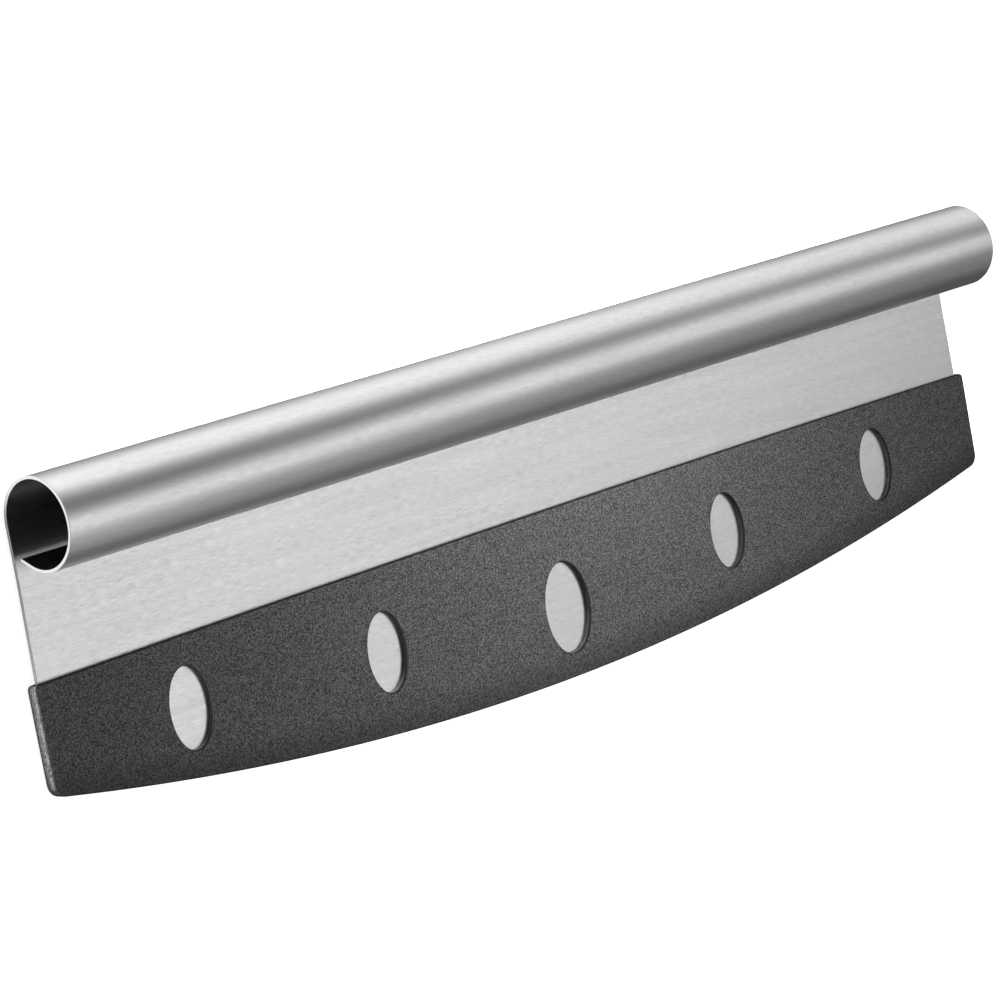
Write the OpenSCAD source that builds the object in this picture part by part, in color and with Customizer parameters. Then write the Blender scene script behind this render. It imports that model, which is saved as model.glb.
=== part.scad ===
// Rocking pizza knife: a steel sheet rolled into a tube grip above a blade with an arc-shaped
// cutting edge, in a slotted plastic guard that slides off the edge.
// The knife lies on its back. X runs along the grip, Y from the cutting edge to the grip, and
// Z out of the front face. The origin is under the middle, on the table. Sizes are in millimetres.

/* [Grip] */
// Length of the sheet, and so of both the grip and the blade
knife_len = 350; // [300:1:400]
// Outer diameter of the rolled grip
grip_d = 22.9; // [20:0.2:30]
// Degrees that the roll goes past the grip's underside before it runs straight
roll_past = 27; // [15:1:35]
// Gap between the tip of the rolled lip and the blade's front face
lip_gap = 2.1; // [0.8:0.1:3]

/* [Blade] */
// Thickness of the steel sheet
sheet_t = 0.8; // [0.6:0.1:1.2]
// Distance from the grip's axis to the lowest point of the cutting edge
blade_drop = 78.6; // [75:0.1:100]
// Radius of the cutting edge's arc
edge_r = 917; // [700:5:1200]
// Height of the bevel ground on each side of the edge
bevel_h = 4; // [2:0.5:6]
// Thickness left at the very edge
edge_t = 0.1; // [0.05:0.05:0.3]
// Degrees that the blade's two ends lean outwards below the grip
blade_flare = 1.3; // [0:0.1:3]
// Radius of the blade's two lower corners
blade_corner_r = 3; // [2:0.5:6]

/* [Guard] */
// Height of the guard at its middle
guard_h = 44.8; // [40:0.1:52]
// How much lower the guard's upper edge is at its ends than at its middle
guard_arch = 1; // [0.2:0.1:3]
// Thickness of the guard's front wall
front_wall = 1.3; // [1:0.1:2.5]
// Thickness of the guard's back wall
back_wall = 0.7; // [0.6:0.1:2.5]
// Plastic below the cutting edge
guard_floor = 2.4; // [1.8:0.1:4]
// Plastic beyond the lower corners of the blade
end_wall = 1.2; // [1:0.1:4]
// Radius of the guard's two lower corners
guard_corner_r = 3.5; // [2.5:0.5:8]
// Radius of the guard's two upper corners
mouth_corner_r = 1.2; // [0.5:0.1:2]
// Rounding of the guard's outer edges
edge_round = 0.4; // [0.2:0.1:0.8]
// Clearance between each face of the blade and the guard
face_gap = 0.1; // [0.05:0.01:0.3]
// Clearance between the blade's ends and cutting edge and the guard
edge_gap = 0.3; // [0.1:0.1:1]

/* [Windows] */
// Width of a window beside the middle one
window_w = 13.7; // [8:0.1:16]
// Height of a window beside the middle one
window_h = 21.1; // [14:0.1:24]
// Width of the middle window
mid_window_w = 16.9; // [8:0.1:20]
// Height of the middle window
mid_window_h = 24.7; // [14:0.1:28]
// Distance between neighbouring windows
window_pitch = 66.2; // [50:0.1:75]
// Least plastic between a window and the guard's end
window_margin = 15; // [10:1:30]
// How far a window sits below the middle of the guard's height
window_drop = 0.2; // [0:0.1:2]
// How far the middle window sits below the middle of the guard's height
mid_window_drop = 4.1; // [0:0.1:6]
// Chamfer round the front of each window
window_chamfer = 0.3; // [0.1:0.1:0.8]

/* [Hidden] */

// Facets of the long shallow arcs and of the small rounds
arc_fn = 256;
round_fn = 96;
// Straight steps along the guard's arched upper edge
arch_steps = 24;
// How far the straight lip starts inside the roll, and how much thinner it is on each side, so
// that the two join without sharing a corner
lip_lap = 0.3;
lip_inset = 0.02;
// How far a corner round reaches past the edges that it joins, so that it crosses them
cross = 0.02;
// How far a cutting shape reaches past what it cuts
over = 1;
// Distance below the grip where the blade's ends start to lean
flare_gap = 1;

grip_r = grip_d / 2;
slot_t = sheet_t + 2 * face_gap;
guard_t = back_wall + slot_t + front_wall;
slot_r = edge_r + edge_gap;
guard_r = slot_r + guard_floor;
overall_h = grip_r + blade_drop + edge_gap + guard_floor;

// Heights on the table, in Y. All arcs share the centre at rocker_y.
guard_low_y = -overall_h / 2;
grip_y = overall_h / 2 - grip_r;
rocker_y = guard_low_y + guard_r;
flare_y = grip_y - grip_r - flare_gap;

// Places along X of the ends of the sheet, the slot and the guard. The sheet's ends lean outwards by
// flare_reach in all. The slot's are upright, so that the blade's lower corners pass its mouth.
sheet_half = knife_len / 2;
flare_reach = tan(blade_flare) * (flare_y - rocker_y + sqrt(pow(edge_r, 2) - pow(sheet_half, 2)));
slot_half = sheet_half + flare_reach + edge_gap;
guard_half = slot_half + end_wall;

// Levels above the table, in Z
back_z = back_wall + face_gap;
front_z = back_z + sheet_t;
grip_z = back_z + grip_r;

// Length of the straight lip, so that its tip ends lip_gap before the blade
lip_len = (grip_r - sheet_t - lip_gap - grip_r * sin(roll_past)) / cos(roll_past);

// Windows on each side of the middle one, as many as there is room for
side_windows = floor((guard_half - window_margin - window_w / 2) / window_pitch);

// Upper edge, lower edge and middle of the guard at a place along X
function guard_top_y(x) = guard_low_y + guard_h - guard_arch * pow(x / guard_half, 2);
function guard_bottom_y(x) = rocker_y - sqrt(pow(guard_r, 2) - pow(x, 2));
function guard_middle_y(x) = (guard_top_y(x) + guard_bottom_y(x)) / 2;

// Centre of the corner round between the end at half and the arc of radius r
function corner_centre(half, r, corner) =
    let (x = half + cross - corner) [x, rocker_y - sqrt(pow(r + cross - corner, 2) - pow(x, 2))];

module both_ends() {
    children();
    mirror([1, 0, 0]) children();
}

// Wedge that holds a lower corner, between the lines from its round's centre square to the end
// and to the arc
module corner_wedge(half, r, corner) {
    centre = corner_centre(half, r, corner);
    reach = 3 * corner;
    arc_angle = atan2(centre[0], rocker_y - centre[1]);
    translate(centre)
        polygon([[0, 0], [reach, 0], [reach, -reach], reach * [sin(arc_angle), -cos(arc_angle)]]);
}

// What lies beyond the right end of the sheet or the slot, which is upright beside the grip, leans
// outwards by the angle flare below it and has a round lower corner. The corner is drawn for an
// upright end, and turned about the arc's centre until that end leans.
module beyond_end(half, r, flare) {
    low_y = guard_low_y - over;
    far = half + flare_reach + 2 * over;
    lean_half = half * cos(flare) - (rocker_y - flare_y) * sin(flare);
    polygon([[half, overall_h], [half, flare_y], [half + tan(flare) * (flare_y - low_y), low_y],
             [far, low_y], [far, overall_h]]);
    translate([0, rocker_y])
        rotate(flare)
            translate([0, -rocker_y])
                difference() {
                    corner_wedge(lean_half, r, blade_corner_r);
                    translate(corner_centre(lean_half, r, blade_corner_r))
                        circle(blade_corner_r, $fn = round_fn);
                }
}

// Cross-section of the sheet: the blade, the roll from the blade's back over the top and
// round, and the straight lip. X is the knife's Y, and Y its Z.
module sheet_section() {
    translate([grip_y, grip_z]) {
        difference() {
            circle(grip_r, $fn = round_fn);
            circle(grip_r - sheet_t, $fn = round_fn);
            // The roll is open from where it leaves the blade's back to where the lip starts
            polygon(2 * grip_r * [[0, 0], [0, -1], [-1, -1]]);
            rotate(180 + roll_past) polygon(2 * grip_r * [[0, 0], [1, 0], [1, 1]]);
        }
        rotate(180 + roll_past)
            translate([grip_r - sheet_t + lip_inset, -lip_lap])
                square([sheet_t - 2 * lip_inset, lip_len + lip_lap]);
    }
    translate([guard_low_y, back_z]) square([grip_y - guard_low_y, sheet_t]);
}

// Half section of the disc that leaves the arc and its two bevels when the sheet is cut with
// it. Its slopes run on past both faces of the sheet.
module bevel_disc_section() {
    slope = bevel_h / ((sheet_t - edge_t) / 2);
    inner_r = edge_r - bevel_h - slope * over;
    polygon([[0, back_z - over], [inner_r, back_z - over], [edge_r, back_z + (sheet_t - edge_t) / 2],
             [edge_r, front_z - (sheet_t - edge_t) / 2], [inner_r, front_z + over],
             [inner_r, back_z + grip_d + over], [0, back_z + grip_d + over]]);
}

module blade_and_grip() {
    uncut_half = sheet_half + flare_reach + over;
    color("silver")
        difference() {
            intersection() {
                translate([-uncut_half, 0, 0])
                    rotate([90, 0, 90])
                        linear_extrude(2 * uncut_half) sheet_section();
                translate([0, rocker_y, 0])
                    rotate_extrude($fn = arc_fn) bevel_disc_section();
            }
            both_ends()
                translate([0, 0, back_z - over])
                    linear_extrude(grip_d + 2 * over) beyond_end(sheet_half, edge_r, blade_flare);
        }
}

// Half section of a disc as thick as the guard, with a rounded rim, grown on all sides
module rim_section(r, grow = 0) {
    translate([0, -grow]) square([r - edge_round, guard_t + 2 * grow]);
    translate([0, edge_round]) square([r + grow, guard_t - 2 * edge_round]);
    for (z = [edge_round, guard_t - edge_round])
        translate([r - edge_round, z]) circle(edge_round + grow, $fn = round_fn);
}

// Everything below the guard's arched upper edge, with its two corners rounded
module arched_top() {
    end_x = guard_half - mouth_corner_r;
    difference() {
        polygon([[guard_half + over, guard_low_y - over], [guard_half + over, guard_top_y(guard_half)],
                 for (i = [0 : arch_steps])
                     let (x = end_x * (1 - 2 * i / arch_steps)) [x, guard_top_y(x)],
                 [-guard_half - over, guard_top_y(guard_half)], [-guard_half - over, guard_low_y - over]]);
        both_ends()
            translate([end_x + cross, guard_top_y(end_x) + cross - mouth_corner_r])
                difference() {
                    square(2 * mouth_corner_r);
                    circle(mouth_corner_r, $fn = round_fn);
                }
    }
}

// What a round lower corner with a rounded rim takes off the guard
module guard_corner_waste() {
    difference() {
        translate([0, 0, -over])
            linear_extrude(guard_t + 2 * over) corner_wedge(guard_half, guard_r, guard_corner_r);
        translate(corner_centre(guard_half, guard_r, guard_corner_r))
            rotate_extrude($fn = round_fn) rim_section(guard_corner_r, cross);
    }
}

// Solid shape of the guard, with all its outer edges rounded below the mouth
module guard_blank() {
    difference() {
        intersection() {
            translate([0, rocker_y, 0])
                rotate_extrude($fn = arc_fn) rim_section(guard_r);
            translate([0, guard_low_y + guard_h + over, 0])
                rotate([90, 0, 0])
                    linear_extrude(guard_h + 2 * over) both_ends() rim_section(guard_half);
            translate([0, 0, -over])
                linear_extrude(guard_t + 2 * over) arched_top();
        }
        both_ends() guard_corner_waste();
    }
}

// Space for the blade, with clearance all round, open at the top
module blade_slot() {
    translate([0, 0, back_wall])
        linear_extrude(slot_t)
            difference() {
                intersection() {
                    translate([0, rocker_y]) circle(slot_r, $fn = arc_fn);
                    translate([-guard_half, guard_low_y]) square([2 * guard_half, guard_h + over]);
                }
                both_ends() beyond_end(slot_half, slot_r, 0);
            }
}

// Oval hole through both walls, chamfered at the front
module window(w, h) {
    scale([1, h / w, 1]) {
        translate([0, 0, -over]) cylinder(guard_t + 2 * over, d = w - 2 * window_chamfer, $fn = round_fn);
        translate([0, 0, guard_t - window_chamfer])
            cylinder(window_chamfer, d1 = w - 2 * window_chamfer, d2 = w, $fn = round_fn);
    }
}

module windows() {
    translate([0, guard_middle_y(0) - mid_window_drop, 0]) window(mid_window_w, mid_window_h);
    for (i = [1 : side_windows])
        both_ends()
            translate([i * window_pitch, guard_middle_y(i * window_pitch) - window_drop, 0])
                window(window_w, window_h);
}

module blade_guard() {
    color([0.27, 0.27, 0.28])
        difference() {
            guard_blank();
            blade_slot();
            windows();
        }
}

blade_and_grip();
blade_guard();
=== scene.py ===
"""Looks of the rocking pizza knife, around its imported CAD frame.

The knife lies on its back: X runs along the grip, Y from the cutting edge to the grip, and Z out of the
front face. Everything is in metres. The steel sheet and the guard replace their CAD nodes at the same
sizes, with rounded edges, a flared mouth and materials.
"""
import math

import bmesh
import bpy
from mathutils import Matrix, Vector


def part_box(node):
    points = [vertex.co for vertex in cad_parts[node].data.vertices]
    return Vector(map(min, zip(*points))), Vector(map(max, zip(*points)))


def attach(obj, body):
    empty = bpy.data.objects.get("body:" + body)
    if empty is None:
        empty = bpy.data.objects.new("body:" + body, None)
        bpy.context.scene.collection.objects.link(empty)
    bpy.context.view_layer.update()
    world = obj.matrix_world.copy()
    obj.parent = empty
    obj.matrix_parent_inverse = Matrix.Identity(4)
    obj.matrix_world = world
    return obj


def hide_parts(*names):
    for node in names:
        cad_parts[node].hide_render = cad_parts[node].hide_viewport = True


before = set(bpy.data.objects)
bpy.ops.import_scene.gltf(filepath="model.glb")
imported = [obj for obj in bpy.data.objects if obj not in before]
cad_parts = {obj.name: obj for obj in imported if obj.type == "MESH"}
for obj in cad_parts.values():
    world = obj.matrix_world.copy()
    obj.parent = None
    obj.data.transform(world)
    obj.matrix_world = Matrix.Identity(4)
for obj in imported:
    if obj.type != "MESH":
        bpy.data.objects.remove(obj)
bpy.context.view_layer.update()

MM = 0.001
MICRON = 1e-6

# Sizes of the steel sheet
knife_low, knife_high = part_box("blade_and_grip")
HALF_LENGTH = 175 * MM
SHEET_T = 0.8 * MM
EDGE_T = 0.1 * MM
EDGE_R = 917 * MM
BEVEL_H = 4 * MM
BLADE_FLARE = math.radians(1.3)
FLARE_GAP = 1 * MM
BLADE_CORNER_R = 3 * MM
ROLL_PAST = math.radians(27)
LIP_GAP = 2.1 * MM
CUT_ROUND = 0.12 * MM

BACK_Z = knife_low.z
BLADE_Z = BACK_Z + SHEET_T / 2
FRONT_Z = BACK_Z + SHEET_T
GRIP_R = (knife_high.z - knife_low.z) / 2
GRIP_Y = knife_high.y - GRIP_R
GRIP_Z = BACK_Z + GRIP_R
ROCKER_Y = knife_low.y + EDGE_R
FLARE_Y = GRIP_Y - GRIP_R - FLARE_GAP

# Sizes of the guard
guard_low, guard_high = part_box("blade_guard")
GUARD_HALF = guard_high.x
GUARD_T = guard_high.z
GUARD_R = ROCKER_Y - guard_low.y
GUARD_ARCH = 1 * MM
GUARD_CORNER_R = 3.5 * MM
MOUTH_CORNER_R = 1.2 * MM
EDGE_ROUND = 0.4 * MM
FACE_GAP = 0.1 * MM
EDGE_GAP = 0.3 * MM
END_WALL = 1.2 * MM
MOUTH_FLARE = 0.4 * MM
MOUTH_FLARE_H = 0.9 * MM

# How far a cutting shape reaches past what it cuts
PAST = 1 * MM

# Windows: width and height at the front, how far they narrow, and where they sit
WINDOW = (13.7 * MM, 21.1 * MM)
MID_WINDOW = (16.9 * MM, 24.7 * MM)
WINDOW_NARROWING = 0.3 * MM
WINDOW_RIM = 0.12 * MM
WINDOW_BACK_RIM = 0.1 * MM
WINDOW_PITCH = 66.2 * MM
WINDOW_DROP = 0.2 * MM
MID_WINDOW_DROP = 4.1 * MM


# Meshes

def new_object(name, bm):
    """An object in the scene with the mesh of bm, whose normals point outwards."""
    bmesh.ops.recalc_face_normals(bm, faces=bm.faces)
    mesh = bpy.data.meshes.new(name)
    bm.to_mesh(mesh)
    bm.free()
    obj = bpy.data.objects.new(name, mesh)
    bpy.context.scene.collection.objects.link(obj)
    return obj


def smooth_by_angle(obj, degrees):
    obj.data.polygons.foreach_set("use_smooth", [True] * len(obj.data.polygons))
    obj.data.set_sharp_from_angle(angle=math.radians(degrees))


def lofted(name, rings):
    """A closed solid through rings of equally many points, with a flat cap at each end."""
    bm = bmesh.new()
    loops = [[bm.verts.new(p) for p in ring] for ring in rings]
    for a, b in zip(loops, loops[1:]):
        for i in range(len(a)):
            k = (i + 1) % len(a)
            bm.faces.new((a[i], a[k], b[k], b[i]))
    bm.faces.new(loops[0][::-1])
    bm.faces.new(loops[-1])
    return new_object(name, bm)


def corner_centre(half, r, corner):
    """Centre of the round between the end at half and the arc of radius r about the rocker's axis."""
    x = half - corner
    return x, ROCKER_Y - math.sqrt((r - corner) ** 2 - x ** 2)


def steps(start, end, count):
    """count equal steps from start to end, both included."""
    return [start + (end - start) * i / count for i in range(count + 1)]


# The steel sheet

CORNER_STEPS = 8
ARC_STEPS = 90
BEVEL_ROWS = 4
BLADE_ROWS = 14
ROLL_STEPS = 108
LIP_ROWS = 3

# Places of the sheet's materials; INSIDE, the inner side of the roll, has painted shade
BRUSHED, GROUND, CUT, INSIDE = range(4)


def turned(x, y, angle):
    """A point turned about the arc's centre."""
    r, start = math.hypot(x, y - ROCKER_Y), math.atan2(x, ROCKER_Y - y)
    return r * math.sin(start + angle), ROCKER_Y - r * math.cos(start + angle)


def blade_outline():
    """Points of the blade's lower edge from left to right. The round corner is found for an upright end,
    and turned until that end leans."""
    upright = HALF_LENGTH * math.cos(BLADE_FLARE) - (ROCKER_Y - FLARE_Y) * math.sin(BLADE_FLARE)
    x0, y0 = corner_centre(upright, EDGE_R, BLADE_CORNER_R)
    start = math.asin(x0 / (EDGE_R - BLADE_CORNER_R))
    arc = [(EDGE_R * math.sin(a), ROCKER_Y - EDGE_R * math.cos(a))
           for a in steps(0, start + BLADE_FLARE, ARC_STEPS // 2)]
    corner = [turned(x0 + BLADE_CORNER_R * math.sin(a), y0 - BLADE_CORNER_R * math.cos(a), BLADE_FLARE)
              for a in steps(start, math.pi / 2, CORNER_STEPS)[1:]]
    right = arc + corner
    return [(-x, y) for x, y in right[:0:-1]] + right


def half_thickness(x, y):
    """Half of the sheet's thickness at a place on the blade, which the two bevels thin to the edge."""
    inside = EDGE_R - math.hypot(x, y - ROCKER_Y)
    return min(SHEET_T, EDGE_T + (SHEET_T - EDGE_T) * max(inside, 0) / BEVEL_H) / 2


def sheet_column(low_x, low_y, narrowing):
    """The sheet's middle line from a point of the cutting edge up the blade, round the roll and to the
    lip's tip: the line's points, the direction of its outer side in Y and Z, its half thickness and its
    length so far. Along X, the line moves in by the factor narrowing on its way to the grip."""
    top_x = low_x * narrowing

    def across(y):
        return top_x + (low_x - top_x) * max(FLARE_Y - y, 0) / (FLARE_Y - low_y)

    bevel_y = ROCKER_Y - math.sqrt((EDGE_R - BEVEL_H) ** 2 - top_x ** 2)
    heights = steps(low_y, bevel_y, BEVEL_ROWS) + steps(bevel_y, FLARE_Y, BLADE_ROWS)[1:] + [GRIP_Y]
    rows = [(across(y), y, BLADE_Z, 0, -1, half_thickness(across(y), y), y - GRIP_Y) for y in heights]
    mid_r = GRIP_R - SHEET_T / 2
    end = 1.5 * math.pi + ROLL_PAST
    for turn in steps(0, end, ROLL_STEPS)[1:]:
        out_y, out_z = math.sin(turn), -math.cos(turn)
        rows.append((top_x, GRIP_Y + mid_r * out_y, GRIP_Z + mid_r * out_z, out_y, out_z, SHEET_T / 2,
                     mid_r * turn))
    lip = (GRIP_R - SHEET_T - LIP_GAP - GRIP_R * math.sin(ROLL_PAST)) / math.cos(ROLL_PAST)
    x, y, z, out_y, out_z, half_t, so_far = rows[-1]
    for run in steps(0, lip, LIP_ROWS)[1:]:
        rows.append((x, y - out_z * run, z + out_y * run, out_y, out_z, half_t, so_far + run))
    return rows


def make_sheet():
    bm = bmesh.new()
    uv = bm.loops.layers.uv.new("along_sheet")
    weight = bm.edges.layers.float.new("bevel_weight_edge")
    outline = blade_outline()
    narrowing = HALF_LENGTH / outline[-1][0]
    columns = [sheet_column(x, y, narrowing) for x, y in outline]
    sides = []
    place = {}
    for side in (1, -1):
        grid = []
        for rows in columns:
            line = []
            for x, y, z, out_y, out_z, half_t, run in rows:
                v = bm.verts.new((x, y + side * half_t * out_y, z + side * half_t * out_z))
                place[v] = (run, x)
                line.append(v)
            grid.append(line)
        sides.append(grid)
    outer, inner = sides
    last_col, last_row = len(columns) - 1, len(columns[0]) - 1

    def face(corners, material):
        f = bm.faces.new(corners)
        f.material_index = material
        for loop in f.loops:
            loop[uv].uv = place[loop.vert]

    for i in range(last_col):
        for j in range(last_row):
            material = GROUND if j < BEVEL_ROWS else BRUSHED
            face((outer[i][j], outer[i + 1][j], outer[i + 1][j + 1], outer[i][j + 1]), material)
            if j > BEVEL_ROWS + BLADE_ROWS:
                material = INSIDE
            face((inner[i][j], inner[i][j + 1], inner[i + 1][j + 1], inner[i + 1][j]), material)
        face((outer[i][0], inner[i][0], inner[i + 1][0], outer[i + 1][0]), GROUND)
        face((outer[i][last_row], outer[i + 1][last_row],
              inner[i + 1][last_row], inner[i][last_row]), CUT)
    for j in range(last_row):
        face((outer[0][j], outer[0][j + 1], inner[0][j + 1], inner[0][j]), CUT)
        face((outer[last_col][j], inner[last_col][j],
              inner[last_col][j + 1], outer[last_col][j + 1]), CUT)

    def mark(a, b, rounded):
        edge = bm.edges.get((a, b))
        edge.smooth = False
        edge[weight] = 1.0 if rounded else 0.0

    for grid in sides:
        for i in (0, last_col):
            for j in range(last_row):
                mark(grid[i][j], grid[i][j + 1], j > BEVEL_ROWS)
        for i in range(last_col):
            mark(grid[i][last_row], grid[i + 1][last_row], True)
            mark(grid[i][0], grid[i + 1][0], False)
            mark(grid[i][BEVEL_ROWS], grid[i + 1][BEVEL_ROWS], False)
    for i in (0, last_col):
        mark(outer[i][last_row], inner[i][last_row], True)
    sheet = new_object("steel_sheet", bm)
    sheet.data.polygons.foreach_set("use_smooth", [True] * len(sheet.data.polygons))
    rounding = sheet.modifiers.new("cut_edges", "BEVEL")
    rounding.limit_method = "WEIGHT"
    rounding.offset_type = "OFFSET"
    rounding.width = CUT_ROUND
    rounding.segments = 2
    rounding.use_clamp_overlap = False
    rounding.harden_normals = True
    return sheet


# The guard

ROUND_STEPS = 5
WINDOW_POINTS = 96
LOWER_STEPS = 120
MOUTH_STEPS = 60
SLOT_STEPS = 80
SMOOTH_BELOW = 35

# Places of the guard's materials: its grained outside, a dark plastic that paints shade in its slot, at
# its mouth, along its lower edge and on its windows' rims, and the walls of its windows
GRAINED, INNER, WALL = range(3)

# A window's walls lie within this share of its size from its middle. Then how squarely the faces with
# painted shade face along Z in the slot, up at the mouth and down at the lower edge, and how far the
# slot's faces keep from the guard's own front and back
WINDOW_REACH = 0.51
SLOT_FACES_Z = 0.7
MOUTH_FACES_UP = 0.3
EDGE_FACES_DOWN = 0.35
OFF_FACE = EDGE_ROUND / 8


def guard_top_y(x):
    return guard_high.y - GUARD_ARCH * (x / GUARD_HALF) ** 2


def guard_middle_y(x):
    return (guard_top_y(x) + ROCKER_Y - math.sqrt(GUARD_R ** 2 - x ** 2)) / 2


def guard_outline(inset):
    """The guard's outline, counter-clockwise from its lowest corner on the left, moved inwards."""
    x0, y0 = corner_centre(GUARD_HALF, GUARD_R, GUARD_CORNER_R)
    start = math.asin(x0 / (GUARD_R - GUARD_CORNER_R))
    r = GUARD_R - inset
    points = [(r * math.sin(a), ROCKER_Y - r * math.cos(a)) for a in steps(-start, start, LOWER_STEPS)]
    corner_r = GUARD_CORNER_R - inset
    lower = [(x0 + corner_r * math.sin(a), y0 - corner_r * math.cos(a))
             for a in steps(start, math.pi / 2, CORNER_STEPS)[1:]]
    top_x = GUARD_HALF - MOUTH_CORNER_R
    top_y = guard_top_y(top_x) - MOUTH_CORNER_R
    mouth_r = MOUTH_CORNER_R - inset
    upper = [(top_x + mouth_r * math.cos(a), top_y + mouth_r * math.sin(a))
             for a in steps(0, math.pi / 2, CORNER_STEPS)]
    arch = [(x, guard_top_y(x) - inset) for x in steps(top_x, -top_x, MOUTH_STEPS)[1:-1]]
    mirrored = [(-x, y) for x, y in (lower + upper)[::-1]]
    return points + lower + upper + arch + mirrored


def rim_profile(radius, thickness):
    """Inset and height of each ring of a plate whose edges are rounded front and back."""
    quarter = steps(0, math.pi / 2, ROUND_STEPS)
    back = [(radius * (1 - math.sin(a)), radius * (1 - math.cos(a))) for a in quarter]
    return back + [(inset, thickness - z) for inset, z in back[::-1]]


def slot_cutter():
    """The space for the blade, which flares at the guard's mouth."""
    back, front = BACK_Z - FACE_GAP, FRONT_Z + FACE_GAP
    rings = []
    for x in steps(END_WALL - GUARD_HALF, GUARD_HALF - END_WALL, SLOT_STEPS):
        low_y = ROCKER_Y - math.sqrt((EDGE_R + EDGE_GAP) ** 2 - x ** 2)
        top_y = guard_top_y(x)
        rings.append([Vector((x, y, z)) for y, z in (
            (low_y, back), (top_y - MOUTH_FLARE_H, back), (top_y, back - MOUTH_FLARE),
            (top_y + PAST, back - MOUTH_FLARE), (top_y + PAST, front + MOUTH_FLARE),
            (top_y, front + MOUTH_FLARE), (top_y - MOUTH_FLARE_H, front), (low_y, front))])
    return lofted("slot_cutter", rings)


def window_cutter(size, centre):
    """An oval hole through both walls: a soft rim at the front, sides that narrow a little towards the
    blade, and a hair of rounding at the back."""
    width, height = size
    profile = [(WINDOW_NARROWING - WINDOW_BACK_RIM, -PAST), (WINDOW_NARROWING - WINDOW_BACK_RIM, 0),
               (WINDOW_NARROWING, WINDOW_BACK_RIM), (WINDOW_NARROWING, FRONT_Z + FACE_GAP)]
    profile += [(WINDOW_RIM * math.cos(a), GUARD_T - WINDOW_RIM + WINDOW_RIM * math.sin(a))
                for a in steps(0, math.pi / 2, ROUND_STEPS)]
    profile.append((-WINDOW_RIM, GUARD_T + PAST))
    rings = []
    for inset, z in profile:
        share = 1 - 2 * inset / width
        rings.append([Vector((centre[0] + share * width / 2 * math.cos(a),
                              centre[1] + share * height / 2 * math.sin(a), z))
                      for a in (2 * math.pi * i / WINDOW_POINTS for i in range(WINDOW_POINTS))])
    return lofted("window_cutter", rings)


def cut(obj, cutter):
    """Take cutter away from obj, and delete it."""
    modifier = obj.modifiers.new("cut", "BOOLEAN")
    modifier.object = cutter
    modifier.operation = "DIFFERENCE"
    modifier.solver = "EXACT"
    graph = bpy.context.evaluated_depsgraph_get()
    mesh = bpy.data.meshes.new_from_object(obj.evaluated_get(graph))
    obj.modifiers.clear()
    obj.data = mesh
    bpy.data.objects.remove(cutter)


def plastic_of(face, windows):
    """The place of a face's material, by where it is on the guard."""
    x, y, z = face.center
    in_window = any(math.hypot((x - at_x) / width, (y - at_y) / height) < WINDOW_REACH
                    for (width, height), (at_x, at_y) in windows)
    if in_window and z < GUARD_T - WINDOW_RIM:
        return WALL
    in_slot = OFF_FACE < z < GUARD_T - OFF_FACE and abs(face.normal.z) > SLOT_FACES_Z
    by_mouth = y > guard_top_y(x) - MOUTH_FLARE_H and abs(x) < GUARD_HALF - END_WALL
    at_mouth = by_mouth and face.normal.y > MOUTH_FACES_UP
    at_lower_edge = face.normal.y < -EDGE_FACES_DOWN
    # Faces in the slot, at the mouth, along the lower edge and on the windows' rims get the dark plastic
    # of painted shade
    return INNER if in_window or in_slot or at_mouth or at_lower_edge else GRAINED


def make_guard():
    rings = [[Vector((x, y, z)) for x, y in guard_outline(inset)]
             for inset, z in rim_profile(EDGE_ROUND, GUARD_T)]
    guard = lofted("plastic_guard", rings)
    cut(guard, slot_cutter())
    places = [(MID_WINDOW, 0, MID_WINDOW_DROP)]
    places += [(WINDOW, i * WINDOW_PITCH, WINDOW_DROP) for i in (-2, -1, 1, 2)]
    windows = [(size, (x, guard_middle_y(x) - drop)) for size, x, drop in places]
    for size, centre in windows:
        cut(guard, window_cutter(size, centre))
    smooth_by_angle(guard, SMOOTH_BELOW)
    for face in guard.data.polygons:
        face.material_index = plastic_of(face, windows)
    weighted = guard.modifiers.new("flat_faces_stay_flat", "WEIGHTED_NORMAL")
    weighted.keep_sharp = True
    return guard


# Materials

# Sizes of the streaks across and along the brushing, the share that the broad ones have in its tone, and
# over what run the painted shade inside the roll fades in
FINE_STREAK = (0.22 * MM, 3 * MM)
BROAD_STREAK = (1.6 * MM, 40 * MM)
BROAD_SHARE = 0.25
FADE_RUN = 14 * MM

# Sizes of the grain in the cut edges, of the flecks in the plastic and of the softer change in its shine,
# and the part of the noise that goes from a dark to a light fleck
CUT_GRAIN = 0.5 * MM
FLECK = 0.39 * MM
SHINE_PATCH = 14 * MM
FLECK_RANGE = (0.385, 0.715)

# Painted shade by the lower edge: the heights above the edge at which it starts and is darkest, and how
# dark it gets
SHADED_H = 8 * MM
DARKEST_H = 1.5 * MM
DARKEST = 0.55

# Painted shade on the walls of the windows: where they get darker, from the blade to their rims and from
# left to right, and how dark they get
WALL_Z = (2.0 * MM, 2.6 * MM)
WALL_PAINTED_SHADE_Z = 0.06
WALL_X = (-66 * MM, 40 * MM)
WALL_PAINTED_SHADE_X = 0.2


def grey(value):
    return (value, value, value, 1)


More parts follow.
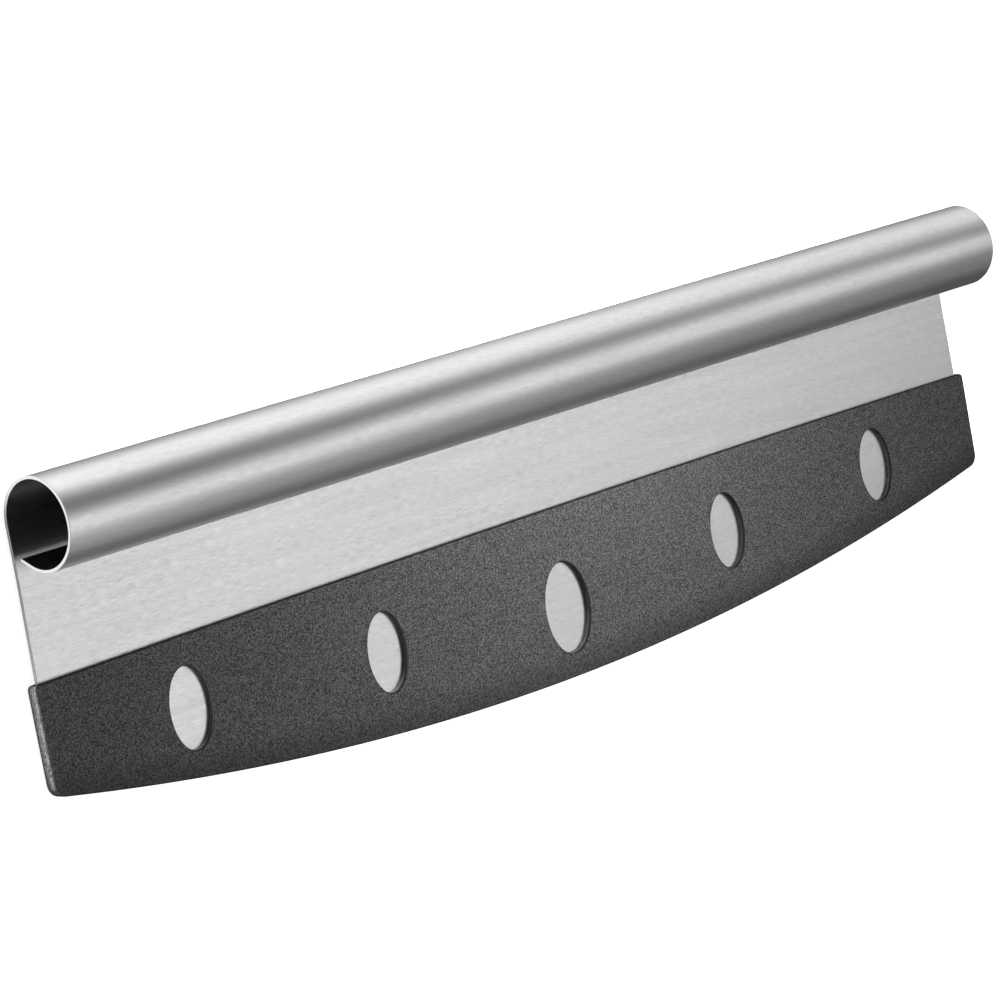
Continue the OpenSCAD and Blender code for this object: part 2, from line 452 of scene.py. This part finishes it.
class Nodes:
    """A short way to write the nodes of a material or a world."""

    def __init__(self, owner):
        owner.use_nodes = True
        self.owner = owner
        self.tree = owner.node_tree
        self.shader = self.tree.nodes.get("Principled BSDF")

    def add(self, kind, inputs=None, **settings):
        node = self.tree.nodes.new(kind)
        for key, value in settings.items():
            setattr(node, key, value)
        for key, value in (inputs or {}).items():
            self.put(node.inputs[key], value)
        return node

    def put(self, socket, value):
        if isinstance(value, bpy.types.NodeSocket):
            self.tree.links.new(value, socket)
        else:
            socket.default_value = value

    def math(self, operation, a, b=0.0, c=0.0):
        return self.add("ShaderNodeMath", {0: a, 1: b, 2: c}, operation=operation).outputs[0]

    def noise(self, vector, scale, detail=2.0, roughness=0.5):
        node = self.add("ShaderNodeTexNoise", {"Vector": vector, "Scale": scale, "Detail": detail,
                                               "Roughness": roughness})
        return node.outputs["Fac"]

    def ramp(self, value, low, high, to_low=0.0, to_high=1.0):
        node = self.add("ShaderNodeMapRange", {"Value": value, "From Min": low, "From Max": high,
                                               "To Min": to_low, "To Max": to_high}, clamp=True)
        return node.outputs["Result"]

    def mix(self, factor, a, b):
        node = self.add("ShaderNodeMix", {"Factor": factor}, data_type="RGBA")
        self.put(node.inputs[6], a)
        self.put(node.inputs[7], b)
        return node.outputs[2]

    def relief(self, height, depth):
        """Bumps of the given depth in metres."""
        node = self.add("ShaderNodeBump", {"Strength": 1.0, "Distance": depth, "Height": height})
        self.put(self.shader.inputs["Normal"], node.outputs["Normal"])


def brushed_steel(name, low_colour, high_colour, roughness, anisotropic, bump, painted_shade_colour=None):
    """Steel brushed along X: streaks in colour, roughness and height, stretched along the grip. On its
    way into the
    roll it fades to a darker colour: painted shade inside the roll."""
    n = Nodes(bpy.data.materials.new(name))
    uv = n.add("ShaderNodeUVMap", uv_map="along_sheet").outputs["UV"]

    def streaks(across, along):
        """Noise with features of the given sizes in metres across and along the brushing."""
        stretched = n.add("ShaderNodeMapping", {"Vector": uv, "Scale": (1 / across, 1 / along, 1.0)})
        return n.noise(stretched.outputs["Vector"], 1.0, 3.0)

    fine = streaks(*FINE_STREAK)
    broad = n.math("MULTIPLY", streaks(*BROAD_STREAK), BROAD_SHARE)
    tone = n.math("MULTIPLY_ADD", fine, 1 - BROAD_SHARE, broad)
    colour = n.mix(n.ramp(tone, 0.35, 0.65), low_colour, high_colour)
    if painted_shade_colour:
        # Painted shade: the colour darkens along the run into the roll
        run = n.add("ShaderNodeSeparateXYZ", {"Vector": uv}).outputs["X"]
        colour = n.mix(n.ramp(run, 0, FADE_RUN), colour, painted_shade_colour)
    n.put(n.shader.inputs["Base Color"], colour)
    n.put(n.shader.inputs["Roughness"], n.ramp(tone, 0.3, 0.7, roughness + 0.05, roughness - 0.05))
    n.shader.inputs["Metallic"].default_value = 1.0
    n.shader.inputs["Anisotropic"].default_value = anisotropic
    tangent = n.add("ShaderNodeTangent", direction_type="UV_MAP", uv_map="along_sheet")
    n.put(n.shader.inputs["Tangent"], tangent.outputs["Tangent"])
    n.relief(fine, bump)
    return n.owner


def cut_steel():
    """The sheared edges of the sheet: light and matt, with a fine grain."""
    n = Nodes(bpy.data.materials.new("cut_steel"))
    spot = n.add("ShaderNodeTexCoord").outputs["Object"]
    grain = n.noise(spot, 1 / CUT_GRAIN, 3.0)
    n.put(n.shader.inputs["Base Color"], n.mix(grain, grey(0.80), grey(0.90)))
    n.put(n.shader.inputs["Roughness"], n.ramp(grain, 0.3, 0.7, 0.5, 0.38))
    n.shader.inputs["Metallic"].default_value = 1.0
    n.relief(grain, 8 * MICRON)
    return n.owner


def guard_plastic(name, dark_fleck, light_fleck, relief_depth, of_wall=False):
    """Anthracite moulded plastic with painted shade towards the guard's lower edge. It has a fine grain
    of light and dark flecks, or on a window's wall one tone with painted shade, darker towards the rim
    and on the right."""
    n = Nodes(bpy.data.materials.new(name))
    spot = n.add("ShaderNodeTexCoord").outputs["Object"]
    flecks = n.noise(spot, 1 / FLECK, 2.0, 0.7)
    soft = n.noise(spot, 1 / SHINE_PATCH, 3.0)
    flat = n.add("ShaderNodeVectorMath", {0: spot, 1: (1, 1, 0)}, operation="MULTIPLY").outputs[0]
    from_axis = n.add("ShaderNodeVectorMath", {0: flat, 1: (0, ROCKER_Y, 0)}, operation="DISTANCE")
    # Painted shade: the colour darkens towards the guard's lower edge
    shade = n.ramp(from_axis.outputs["Value"], GUARD_R - SHADED_H, GUARD_R - DARKEST_H, 1.0, DARKEST)
    if of_wall:
        # Painted shade on a window's wall: darker towards its rim and on the right
        x, _, z = n.add("ShaderNodeSeparateXYZ", {"Vector": spot}).outputs
        fleck_or_painted_wall_shade = n.math("MULTIPLY", n.ramp(z, *WALL_Z, 1.0, WALL_PAINTED_SHADE_Z),
                           n.ramp(x, *WALL_X, 1.0, WALL_PAINTED_SHADE_X))
    else:
        fleck_or_painted_wall_shade = n.ramp(flecks, *FLECK_RANGE)
    base = n.mix(n.math("MULTIPLY", fleck_or_painted_wall_shade, shade), grey(dark_fleck), grey(light_fleck))
    n.put(n.shader.inputs["Base Color"], base)
    n.shader.inputs["Specular IOR Level"].default_value = 0.15
    n.put(n.shader.inputs["Roughness"], n.ramp(soft, 0.3, 0.7, 0.52, 0.46))
    n.relief(flecks, relief_depth)
    return n.owner


# In the order of BRUSHED, GROUND, CUT and INSIDE, and of GRAINED, INNER and WALL
sheet = make_sheet()
as_brushed = {"low_colour": grey(0.65), "high_colour": grey(0.78), "roughness": 0.33, "anisotropic": 0.8,
              "bump": 5 * MICRON}
for material in (
        brushed_steel("brushed_sheet", **as_brushed),
        brushed_steel("ground_edge", low_colour=grey(0.70), high_colour=grey(0.80), roughness=0.24,
                      anisotropic=0.6, bump=3 * MICRON),
        cut_steel(),
        brushed_steel("roll_inside", **as_brushed, painted_shade_colour=grey(0.4))):
    sheet.data.materials.append(material)
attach(sheet, "knife")
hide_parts("blade_and_grip")

guard = make_guard()
for material in (
        guard_plastic("guard_plastic", dark_fleck=0.006, light_fleck=0.093, relief_depth=30 * MICRON),
        # Dark plastic that paints shade in the slot, at the mouth, along the lower edge and on the
        # windows' rims
        guard_plastic("guard_plastic_painted_shade", dark_fleck=0.004, light_fleck=0.012,
                      relief_depth=4 * MICRON),
        # One tone for the windows' walls, with painted shade
        guard_plastic("guard_plastic_wall", dark_fleck=0.004, light_fleck=0.17, relief_depth=4 * MICRON,
                      of_wall=True)):
    guard.data.materials.append(material)
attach(guard, "guard")
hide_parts("blade_guard")


# Camera, floor and light

# Where the picture's middle falls on the blade, and from where it is seen: turned from the front face's
# normal towards the left end, raised towards the grip, and rolled
LOOK_AT = Vector((-16.3 * MM, 4.45 * MM, FRONT_Z))
TURNED = math.radians(44.96)
RAISED = math.radians(7.99)
ROLLED = math.radians(10.42)
DISTANCE = 1077.3 * MM
FOCAL_MM = 150.86


def make_camera():
    forward = Vector((math.sin(TURNED) * math.cos(RAISED), -math.sin(RAISED),
                      -math.cos(TURNED) * math.cos(RAISED)))
    level = Vector((math.cos(TURNED), 0, math.sin(TURNED)))
    upright = level.cross(forward)
    right = level * math.cos(ROLLED) - upright * math.sin(ROLLED)
    up = level * math.sin(ROLLED) + upright * math.cos(ROLLED)
    data = bpy.data.cameras.new("camera")
    data.lens = FOCAL_MM
    data.sensor_width = 36
    data.clip_end = 50
    camera = bpy.data.objects.new("camera", data)
    bpy.context.scene.collection.objects.link(camera)
    turn = Matrix((right, up, -forward)).transposed().to_4x4()
    camera.matrix_world = Matrix.Translation(LOOK_AT - forward * DISTANCE) @ turn
    bpy.context.scene.camera = camera


# Brightness of the floor where 1 is white. To mirrors it is dark with a painted glow, which fades towards
# +X and leaves painted shadow close to the knife, but for a strip beside the left end. Each _X or _Y is
# the span over which a value changes.
FLOOR_SIZE = 12
FLOOR_BELOW = 0.05 * MM
FLOOR_COLOUR = 0.93
MIRRORED_COLOUR = 0.05
FLOOR_GLOW = 0.85
MIRRORED_GLOW = (1.5, 0.72)
MIRRORED_GLOW_X = (-0.3, 0.6)
MIRRORED_FLOOR_Y = (50 * MM, 85 * MM)
STRIP_START_X = (-176 * MM, -178 * MM)
STRIP_END_X = (-250 * MM, -230 * MM)
STRIP_GLOW = 0.78

# Brightness of the world, by the parts of its direction: the horizon behind the grip, and the dim side
# below the blade
HORIZON = (1.72, 1.12)
HORIZON_X = (0.6, 0.8)
HORIZON_Y = (0.0, 0.66)
HORIZON_Z = (0.25, 0.476)
DIM_SIDE = (0.45, 0.25)
DIM_SIDE_Y = (-0.79, 0.0)
DARK = 0.02

# Black cards: where each stands, how high it is and how far it reaches
CARD_Y = -85 * MM
CARD_H = 40 * MM
CARD_X = (-0.6, 1.2)
END_CARD_X = -233 * MM
END_CARD_H = 3.1 * MM
END_CARD_Y = (-0.3, 0.3)


def make_floor():
    """A pale floor that goes on to the horizon, and shows white where no shadow falls on it. Mirrors see
    a painted
    reflection instead: a dark floor with a glow that fades towards +X and painted shadow close to the
    knife.
    """
    bm = bmesh.new()
    bmesh.ops.create_grid(bm, x_segments=1, y_segments=1, size=FLOOR_SIZE)
    floor = new_object("floor", bm)
    floor.location.z = -FLOOR_BELOW
    n = Nodes(bpy.data.materials.new("floor"))
    n.shader.inputs["Roughness"].default_value = 0.9
    n.shader.inputs["Emission Color"].default_value = grey(1)
    path = n.add("ShaderNodeLightPath")
    mirrored = n.math("MAXIMUM", path.outputs["Is Glossy Ray"], path.outputs["Is Transmission Ray"])
    n.put(n.shader.inputs["Base Color"], n.mix(mirrored, grey(FLOOR_COLOUR), grey(MIRRORED_COLOUR)))
    place = n.add("ShaderNodeSeparateXYZ", {"Vector": n.add("ShaderNodeTexCoord").outputs["Object"]})
    x, y, _ = place.outputs
    # Painted reflection for mirrors: a glow that fades towards +X, with painted shadow close to the knife
    strip = n.math("MULTIPLY", n.ramp(x, *STRIP_START_X, 0, STRIP_GLOW), n.ramp(x, *STRIP_END_X))
    lit = n.math("MAXIMUM", n.ramp(y, *MIRRORED_FLOOR_Y), strip)
    fading = n.math("MULTIPLY", lit, n.ramp(x, *MIRRORED_GLOW_X, *MIRRORED_GLOW))
    to_mirrors = n.math("MULTIPLY", mirrored, fading)
    glow = n.math("MULTIPLY_ADD", path.outputs["Is Camera Ray"], FLOOR_GLOW, to_mirrors)
    n.put(n.shader.inputs["Emission Strength"], glow)
    floor.data.materials.append(n.owner)


def make_card(name, corners, casts_shadow):
    """A black card in the studio, which casts a shadow, or else is only seen by mirrors."""
    bm = bmesh.new()
    bm.faces.new([bm.verts.new(p) for p in corners])
    card = new_object(name, bm)
    n = Nodes(bpy.data.materials.new(name))
    n.shader.inputs["Base Color"].default_value = grey(DARK)
    n.shader.inputs["Roughness"].default_value = 1.0
    card.data.materials.append(n.owner)
    card.visible_camera = False
    card.visible_diffuse = False
    card.visible_glossy = not casts_shadow
    card.visible_shadow = casts_shadow


def make_cards():
    """One card below the knife, so that the grip's underside is dark, and a very low one beside the
    guard's left end, so that the light on that end grows from its back edge to its front edge."""
    def standing(start, end, height):
        return (start, 0), (end, 0), (end, height), (start, height)

    below = [(x, CARD_Y, z) for x, z in standing(*CARD_X, CARD_H)]
    make_card("card_below", below, casts_shadow=False)
    beside = [(END_CARD_X, y, z) for y, z in standing(*END_CARD_Y, END_CARD_H)]
    make_card("card_beside", beside, casts_shadow=True)


def softbox(name, at, towards, size, radiance, spin=0.0, mirrored=True):
    """A rectangular lamp whose face is as bright as radiance, where 1 is white. If it is not mirrored, it
    lights only what is not metal."""
    light = bpy.data.lights.new(name, "AREA")
    light.shape = "RECTANGLE"
    light.size, light.size_y = size
    light.energy = radiance * math.pi * size[0] * size[1]
    lamp = bpy.data.objects.new(name, light)
    lamp.location = at
    aim = (Vector(towards) - Vector(at)).to_track_quat("-Z", "Y").to_matrix()
    lamp.rotation_euler = (aim @ Matrix.Rotation(math.radians(spin), 3, "Z")).to_euler()
    lamp.visible_camera = False
    lamp.visible_glossy = mirrored
    bpy.context.scene.collection.objects.link(lamp)


def make_world():
    """A studio that is bright behind the grip near the horizon, dark above it and, to mirrors, dim on the
    other side. The camera sees it as white."""
    world = bpy.data.worlds.new("studio")
    bpy.context.scene.world = world
    n = Nodes(world)
    path = n.add("ShaderNodeLightPath")
    spot = n.add("ShaderNodeTexCoord").outputs["Generated"]
    x, y, z = n.add("ShaderNodeSeparateXYZ", {"Vector": spot}).outputs
    band = n.math("MULTIPLY", n.ramp(y, *HORIZON_Y), n.ramp(z, *HORIZON_Z, 1.0, 0.0))
    below = n.math("SUBTRACT", n.ramp(y, *DIM_SIDE_Y, 1.0, 0.0), path.outputs["Is Diffuse Ray"])
    dim = n.math("MULTIPLY_ADD", n.math("MAXIMUM", below, 0.0), n.ramp(x, *HORIZON_X, *DIM_SIDE), DARK)
    bright = n.math("MULTIPLY", band, n.ramp(x, *HORIZON_X, *HORIZON))
    glow = n.math("MULTIPLY_ADD", n.math("SUBTRACT", 1.0, band), dim, bright)
    background = n.tree.nodes["Background"]
    n.put(background.inputs["Strength"], n.math("MAXIMUM", glow, path.outputs["Is Camera Ray"]))
    background.inputs["Color"].default_value = grey(1)


make_camera()
make_floor()
make_cards()
make_world()
softbox("key", at=(0.2, -0.253, 0.697), towards=(0, 0, 0), size=(1.91, 0.41), radiance=1.21, spin=-11.4)
softbox("side", at=(-1.0, 0, 0.022), towards=(0, 0, 0), size=(0.8, 0.04), radiance=800, mirrored=False)
softbox("glow", at=(0.02, 0.09, 0.13), towards=(0.02, -0.02, 0), size=(0.06, 0.06), radiance=92,
        mirrored=False)

bpy.context.scene.view_settings.view_transform = "Standard"
